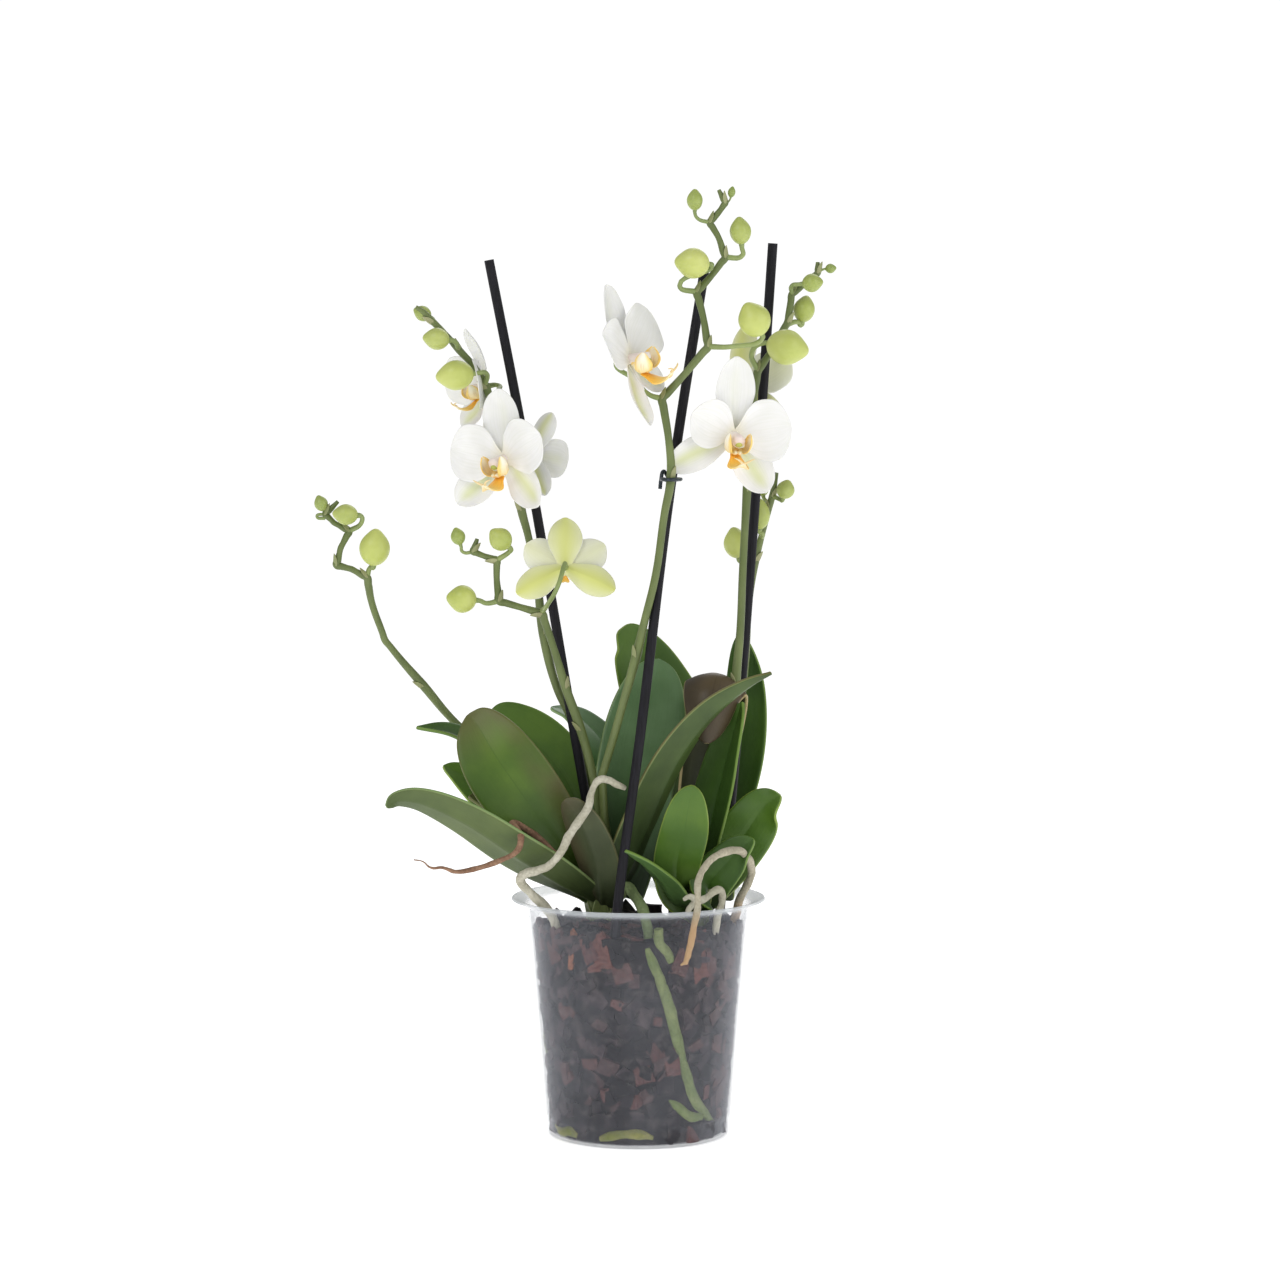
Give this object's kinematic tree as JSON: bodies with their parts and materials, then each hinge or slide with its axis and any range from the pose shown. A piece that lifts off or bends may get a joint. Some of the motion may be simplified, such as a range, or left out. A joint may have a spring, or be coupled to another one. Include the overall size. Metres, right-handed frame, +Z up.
{
  "type": "potted orchid",
  "caption": "Potted moth orchid with arching flower spikes, buds, broad leaves and aerial roots, staked on thin canes in a clear grower's pot of bark, standing on its flat base.",
  "frame": {"origin": "centre of the pot's flat underside", "axes": "+Z up along the pot's axis, -Y toward the plant's front, +X to the viewer's right seen from the front"},
  "size_m": [0.2447, 0.1341, 0.4455],
  "materials": {
    "clear_plastic": "gloss",
    "bark": "matte",
    "cane": "satin",
    "clip": "satin",
    "stem": "satin",
    "leaf": "satin",
    "brown_leaf": "satin",
    "petal": "matte",
    "lip": "matte",
    "silver_root": "matte",
    "dried_root": "matte",
    "green_root": "satin"
  },
  "bodies": {
    "root": {"aerial_root_dried": "dried_root", "aerial_root_forked": "silver_root", "aerial_root_green": "green_root", "aerial_root_left": "silver_root", "aerial_root_right": "silver_root", "bark_mix": "bark", "crown_left": "stem", "crown_right": "stem", "floor_root_front": "green_root", "floor_root_left": "green_root", "flower_back_left_lip": "lip", "flower_back_left_petals": "petal", "flower_back_right_lip": "lip", "flower_back_right_petals": "petal", "flower_left_lip": "lip", "flower_left_petals": "petal", "flower_right_lip": "lip", "flower_right_petals": "petal", "flower_side_lip": "lip", "flower_side_petals": "petal", "flower_spike_back_right": "stem", "flower_spike_centre": "stem", "flower_spike_far_left": "stem", "flower_spike_front_left": "stem", "flower_spike_left": "stem", "flower_spike_right": "stem", "flower_top_lip": "lip", "flower_top_petals": "petal", "flower_turned_away_lip": "lip", "flower_turned_away_petals": "petal", "leaf_back_thin": "leaf", "leaf_centre_back": "leaf", "leaf_centre_broad": "leaf", "leaf_centre_long": "leaf", "leaf_front_small": "leaf", "leaf_left_back": "leaf", "leaf_left_behind": "leaf", "leaf_left_front": "leaf", "leaf_left_lowest": "leaf", "leaf_left_pointed": "leaf", "leaf_left_red_tip": "leaf", "leaf_left_small_brown": "leaf", "leaf_right_dark": "leaf", "leaf_right_folded": "brown_leaf", "leaf_right_front": "leaf", "leaf_right_low": "leaf", "leaf_right_pale_edge": "leaf", "leaf_right_tall": "leaf", "pot": "clear_plastic", "stem_clip_left": "clip", "stem_clip_middle": "clip", "stem_clip_right": "clip", "support_cane_left": "cane", "support_cane_middle": "cane", "support_cane_right": "cane", "wall_root_left": "green_root", "wall_root_right": "green_root", "wall_root_top": "green_root"}
  },
  "joints": []
}
